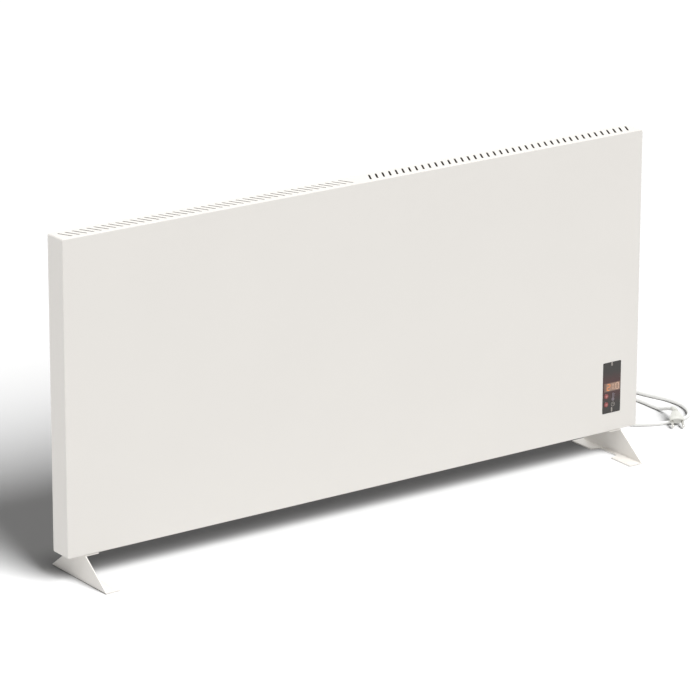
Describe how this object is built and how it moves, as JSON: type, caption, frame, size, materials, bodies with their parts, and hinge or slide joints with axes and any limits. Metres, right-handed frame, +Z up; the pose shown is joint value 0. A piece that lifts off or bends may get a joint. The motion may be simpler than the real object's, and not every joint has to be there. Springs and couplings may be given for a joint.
{
  "type": "panel convector heater",
  "caption": "Flat panel convector heater: sheet casing with a slotted top, folded feet, control panel with push keys, finned heating element inside, mains lead with plug.",
  "frame": {"origin": "on the floor, under the middle of the casing", "axes": "+X along the length to the right as seen from the front, +Y to the rear, +Z up"},
  "size_m": [1.431, 0.4513, 0.6],
  "materials": {
    "enamel": "satin white powder coat",
    "steel": "zinc plated",
    "aluminium": "plain extruded",
    "ceramic": "unglazed ceramic",
    "dark_gloss": "glossy tinted",
    "red_plastic": "glossy translucent red",
    "display": "lit amber",
    "black_plastic": "moulded matte",
    "board": "solder resist",
    "white_cord": "smooth white PVC",
    "nickel": "bright nickel",
    "brown_wire": "smooth insulation",
    "blue_wire": "smooth insulation",
    "earth_wire": "smooth insulation"
  },
  "bodies": {
    "heater": {"front_casing": "enamel", "rear_panel": "enamel", "rear_screw_1": "steel", "rear_screw_2": "steel", "rear_screw_3": "steel", "rear_screw_4": "steel", "rear_screw_5": "steel", "rear_screw_6": "steel", "rear_screw_7": "steel", "rear_screw_8": "steel", "foot_left": "enamel", "foot_right": "enamel", "foot_screw_left_front": "steel", "foot_screw_left_rear": "steel", "foot_screw_right_front": "steel", "foot_screw_right_rear": "steel", "control_faceplate": "dark_gloss", "control_housing": "black_plastic", "control_frame": "black_plastic", "circuit_board": "board", "display_module": "display", "power_relay": "black_plastic", "supply_capacitor": "black_plastic", "key_switch_upper": "black_plastic", "key_switch_lower": "black_plastic", "room_sensor": "white_cord", "heating_element": "aluminium", "heater_rod": "steel", "element_bracket_left": "steel", "element_bracket_right": "steel", "rod_bush_left": "ceramic", "rod_bush_right": "ceramic", "heat_shield": "aluminium", "thermal_cutout": "black_plastic", "front_stiffener_left": "steel", "front_stiffener_right": "steel", "terminal_block": "ceramic", "earth_screw": "steel", "lead_live": "brown_wire", "lead_switched": "brown_wire", "lead_neutral": "blue_wire", "lead_earth": "earth_wire", "cord_gland": "white_cord", "lead_inner_end": "white_cord", "plug_body": "white_cord", "plug_boot": "white_cord", "plug_pin_left": "nickel", "plug_pin_right": "nickel", "power_cord": "white_cord"},
    "key_upper": {"key_upper": "red_plastic"},
    "key_lower": {"key_lower": "red_plastic"}
  },
  "joints": [
    {"name": "key_upper_press", "type": "slide", "parent": "heater", "child": "key_upper", "axis": [0, 1, 0], "range_m": [0, 0.0008], "stiffness_N_per_m": 2000},
    {"name": "key_lower_press", "type": "slide", "parent": "heater", "child": "key_lower", "axis": [0, 1, 0], "range_m": [0, 0.0008], "stiffness_N_per_m": 2000}
  ]
}
